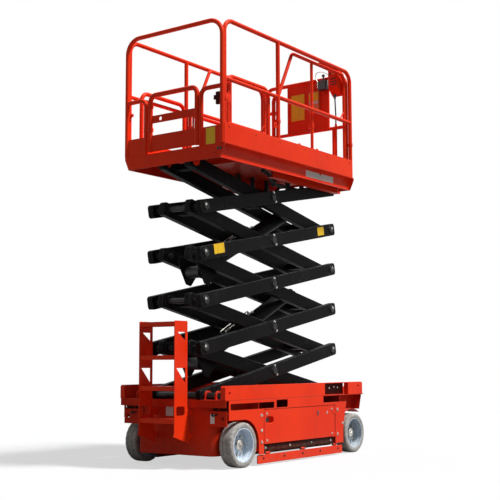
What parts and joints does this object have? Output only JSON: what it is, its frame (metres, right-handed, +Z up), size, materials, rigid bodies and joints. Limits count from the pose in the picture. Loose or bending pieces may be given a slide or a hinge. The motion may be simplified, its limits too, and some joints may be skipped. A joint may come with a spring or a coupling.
{
  "type": "self-propelled scissor lift",
  "caption": "Electric self-propelled scissor lift: wheeled chassis with ladder, five-level scissor linkage with two lift cylinders, railed platform with roll-out deck.",
  "frame": {"origin": "on the ground under the machine's middle line, midway between the front and rear axles", "axes": "+X forward, away from the ladder; +Y to the machine's left; +Z up"},
  "size_m": [2.4955, 1.19, 3.9199],
  "materials": {
    "body_paint": "satin orange-red paint, scuffed",
    "dark_paint": "darker red-brown paint on the chassis parts in shade",
    "black_paint": "black enamel, dusty",
    "pin_steel": "turned steel pins and rollers",
    "cylinder_paint": "black enamel",
    "rod_chrome": "hard chrome rod",
    "tyre_rubber": "pale non-marking rubber",
    "rim_paint": "pale blue-grey paint",
    "battery_case": "moulded battery cases",
    "pump_paint": "grey enamel",
    "control_plastic": "moulded case",
    "document_plastic": "moulded box",
    "cable_rubber": "black cable"
  },
  "bodies": {
    "chassis": {"chassis_frame": "dark_paint", "side_skirts": "body_paint", "side_guards": "body_paint", "fenders": "dark_paint", "ladder": "body_paint", "rear_hubs": "dark_paint", "front_axle": "dark_paint", "guard_hangers": "dark_paint"},
    "steer_right": {"knuckle_right": "dark_paint"},
    "steer_left": {"knuckle_left": "dark_paint"},
    "tie_rod": {"tie_rod": "dark_paint"},
    "wheel_rear_left": {"tyre_rear_left": "tyre_rubber", "rim_rear_left": "rim_paint"},
    "wheel_rear_right": {"tyre_rear_right": "tyre_rubber", "rim_rear_right": "rim_paint"},
    "wheel_front_left": {"tyre_front_left": "tyre_rubber", "rim_front_left": "rim_paint"},
    "wheel_front_right": {"tyre_front_right": "tyre_rubber", "rim_front_right": "rim_paint"},
    "tray_right": {"tray_door_right": "body_paint", "battery_pack": "battery_case"},
    "tray_left": {"tray_door_left": "body_paint", "hydraulic_unit": "pump_paint"},
    "pothole_left": {"pothole_guard_left": "body_paint"},
    "pothole_right": {"pothole_guard_right": "body_paint"},
    "outer_1": {"outer_arms_1": "black_paint", "pivot_pins_1": "pin_steel"},
    "inner_1": {"inner_arms_1": "black_paint", "lower_rollers": "pin_steel"},
    "outer_2": {"outer_arms_2": "black_paint", "pivot_pins_2": "pin_steel"},
    "inner_2": {"inner_arms_2": "black_paint"},
    "outer_3": {"outer_arms_3": "black_paint", "pivot_pins_3": "pin_steel"},
    "inner_3": {"inner_arms_3": "black_paint"},
    "outer_4": {"outer_arms_4": "black_paint", "pivot_pins_4": "pin_steel"},
    "inner_4": {"inner_arms_4": "black_paint"},
    "outer_5": {"outer_arms_5": "black_paint", "pivot_pins_5": "pin_steel", "upper_rollers": "pin_steel"},
    "inner_5": {"inner_arms_5": "black_paint"},
    "barrel_lower": {"cylinder_barrel_lower": "cylinder_paint"},
    "rod_lower": {"cylinder_rod_lower": "rod_chrome"},
    "barrel_upper": {"cylinder_barrel_upper": "cylinder_paint"},
    "rod_upper": {"cylinder_rod_upper": "rod_chrome"},
    "platform": {"platform_deck": "body_paint", "toe_boards": "body_paint", "platform_rails": "body_paint"},
    "gate": {"entry_gate": "body_paint"},
    "extension": {"extension_deck": "body_paint", "extension_rails": "body_paint", "control_box": "body_paint", "joystick_unit": "control_plastic", "document_box": "document_plastic", "control_cable": "cable_rubber"}
  },
  "joints": [
    {"name": "wheel_rear_left_spin", "type": "hinge", "parent": "chassis", "child": "wheel_rear_left", "pos_m": [-0.925, 0.5315, 0.1905], "axis": [0, 1, 0], "continuous": true},
    {"name": "wheel_rear_right_spin", "type": "hinge", "parent": "chassis", "child": "wheel_rear_right", "pos_m": [-0.925, -0.5315, 0.1905], "axis": [0, 1, 0], "continuous": true},
    {"name": "steering", "type": "hinge", "parent": "chassis", "child": "steer_right", "pos_m": [0.925, -0.44, 0.1905], "axis": [0, 0, 1], "range_deg": [-55, 55]},
    {"name": "steering_left", "type": "hinge", "parent": "chassis", "child": "steer_left", "pos_m": [0.925, 0.44, 0.1905], "axis": [0, 0, 1], "range_deg": [-56, 56]},
    {"name": "tie_rod_pivot", "type": "hinge", "parent": "steer_right", "child": "tie_rod", "pos_m": [0.805, -0.44, 0.121], "axis": [0, 0, 1], "range_deg": [-56, 56]},
    {"name": "wheel_front_left_spin", "type": "hinge", "parent": "steer_left", "child": "wheel_front_left", "pos_m": [0.925, 0.5315, 0.1905], "axis": [0, 1, 0], "continuous": true},
    {"name": "wheel_front_right_spin", "type": "hinge", "parent": "steer_right", "child": "wheel_front_right", "pos_m": [0.925, -0.5315, 0.1905], "axis": [0, 1, 0], "continuous": true},
    {"name": "tray_right_swing", "type": "hinge", "parent": "chassis", "child": "tray_right", "pos_m": [0.558, -0.59, 0.3], "axis": [0, 0, 1], "range_deg": [0, 90]},
    {"name": "tray_left_swing", "type": "hinge", "parent": "chassis", "child": "tray_left", "pos_m": [0.558, 0.59, 0.3], "axis": [0, 0, -1], "range_deg": [0, 90]},
    {"name": "pothole_left_fold", "type": "hinge", "parent": "chassis", "child": "pothole_left", "pos_m": [0, 0.578, 0.104], "axis": [-1, 0, 0], "range_deg": [0, 80]},
    {"name": "pothole_right_fold", "type": "hinge", "parent": "chassis", "child": "pothole_right", "pos_m": [0, -0.578, 0.104], "axis": [1, 0, 0], "range_deg": [0, 80]},
    {"name": "lift", "type": "hinge", "parent": "chassis", "child": "outer_1", "pos_m": [-1.08, 0, 0.603], "axis": [0, -1, 0], "range_deg": [-7.67, 50.5]},
    {"name": "inner_1_pivot", "type": "hinge", "parent": "outer_1", "child": "inner_1", "pos_m": [-0.04509, 0, 0.80792], "axis": [0, -1, 0], "range_deg": [-101.4, 15.74]},
    {"name": "outer_2_pivot", "type": "hinge", "parent": "inner_1", "child": "outer_2", "pos_m": [-1.08, 0, 1.01283], "axis": [0, -1, 0], "range_deg": [-15.74, 101.4]},
    {"name": "inner_2_pivot", "type": "hinge", "parent": "outer_2", "child": "inner_2", "pos_m": [-0.04509, 0, 1.21775], "axis": [0, -1, 0], "range_deg": [-101.4, 15.74]},
    {"name": "outer_3_pivot", "type": "hinge", "parent": "inner_2", "child": "outer_3", "pos_m": [-1.08, 0, 1.42267], "axis": [0, -1, 0], "range_deg": [-15.74, 101.4]},
    {"name": "inner_3_pivot", "type": "hinge", "parent": "outer_3", "child": "inner_3", "pos_m": [-0.04509, 0, 1.62759], "axis": [0, -1, 0], "range_deg": [-101.4, 15.74]},
    {"name": "outer_4_pivot", "type": "hinge", "parent": "inner_3", "child": "outer_4", "pos_m": [-1.08, 0, 1.8325], "axis": [0, -1, 0], "range_deg": [-15.74, 101.4]},
    {"name": "inner_4_pivot", "type": "hinge", "parent": "outer_4", "child": "inner_4", "pos_m": [-0.04509, 0, 2.03742], "axis": [0, -1, 0], "range_deg": [-101.4, 15.74]},
    {"name": "outer_5_pivot", "type": "hinge", "parent": "inner_4", "child": "outer_5", "pos_m": [-1.08, 0, 2.24234], "axis": [0, -1, 0], "range_deg": [-15.74, 101.4]},
    {"name": "inner_5_pivot", "type": "hinge", "parent": "outer_5", "child": "inner_5", "pos_m": [-0.04509, 0, 2.44726], "axis": [0, -1, 0], "range_deg": [-101.4, 15.74]},
    {"name": "platform_pivot", "type": "hinge", "parent": "inner_5", "child": "platform", "pos_m": [-1.08, 0, 2.65217], "axis": [0, -1, 0], "range_deg": [-8.07, 50.9]},
    {"name": "cylinder_lower_pivot", "type": "hinge", "parent": "inner_3", "child": "barrel_lower", "pos_m": [0.58654, 0, 1.55859], "axis": [0, -1, 0], "range_deg": [-15.24, 98.12]},
    {"name": "cylinder_lower_stroke", "type": "slide", "parent": "barrel_lower", "child": "rod_lower", "axis": [-0.903, 0, -0.4297], "range_m": [-0.1646, 1.0617]},
    {"name": "cylinder_upper_pivot", "type": "hinge", "parent": "inner_5", "child": "barrel_upper", "pos_m": [0.58654, 0, 2.37826], "axis": [0, -1, 0], "range_deg": [-15.24, 98.12]},
    {"name": "cylinder_upper_stroke", "type": "slide", "parent": "barrel_upper", "child": "rod_upper", "axis": [-0.903, 0, -0.4297], "range_m": [-0.1646, 1.0617]},
    {"name": "gate_swing", "type": "hinge", "parent": "platform", "child": "gate", "pos_m": [-1.169, 0.2675, 3], "axis": [0, 0, 1], "range_deg": [0, 85]},
    {"name": "extension_slide", "type": "slide", "parent": "platform", "child": "extension", "axis": [1, 0, 0], "range_m": [0, 0.9]}
  ],
  "couplings": [
    {"joint": "steering_left", "follows": "steering", "ratio": 1},
    {"joint": "tie_rod_pivot", "follows": "steering", "ratio": -1},
    {"joint": "inner_1_pivot", "follows": "lift", "ratio": -2},
    {"joint": "outer_2_pivot", "follows": "lift", "ratio": 2},
    {"joint": "inner_2_pivot", "follows": "lift", "ratio": -2},
    {"joint": "outer_3_pivot", "follows": "lift", "ratio": 2},
    {"joint": "inner_3_pivot", "follows": "lift", "ratio": -2},
    {"joint": "outer_4_pivot", "follows": "lift", "ratio": 2},
    {"joint": "inner_4_pivot", "follows": "lift", "ratio": -2},
    {"joint": "outer_5_pivot", "follows": "lift", "ratio": 2},
    {"joint": "inner_5_pivot", "follows": "lift", "ratio": -2},
    {"joint": "platform_pivot", "follows": "lift", "ratio": 1},
    {"joint": "cylinder_lower_pivot", "follows": "lift", "ratio": 1.935},
    {"joint": "cylinder_lower_stroke", "follows": "lift", "m_per_rad": 1.2},
    {"joint": "cylinder_upper_pivot", "follows": "lift", "ratio": 1.935},
    {"joint": "cylinder_upper_stroke", "follows": "lift", "m_per_rad": 1.2}
  ]
}
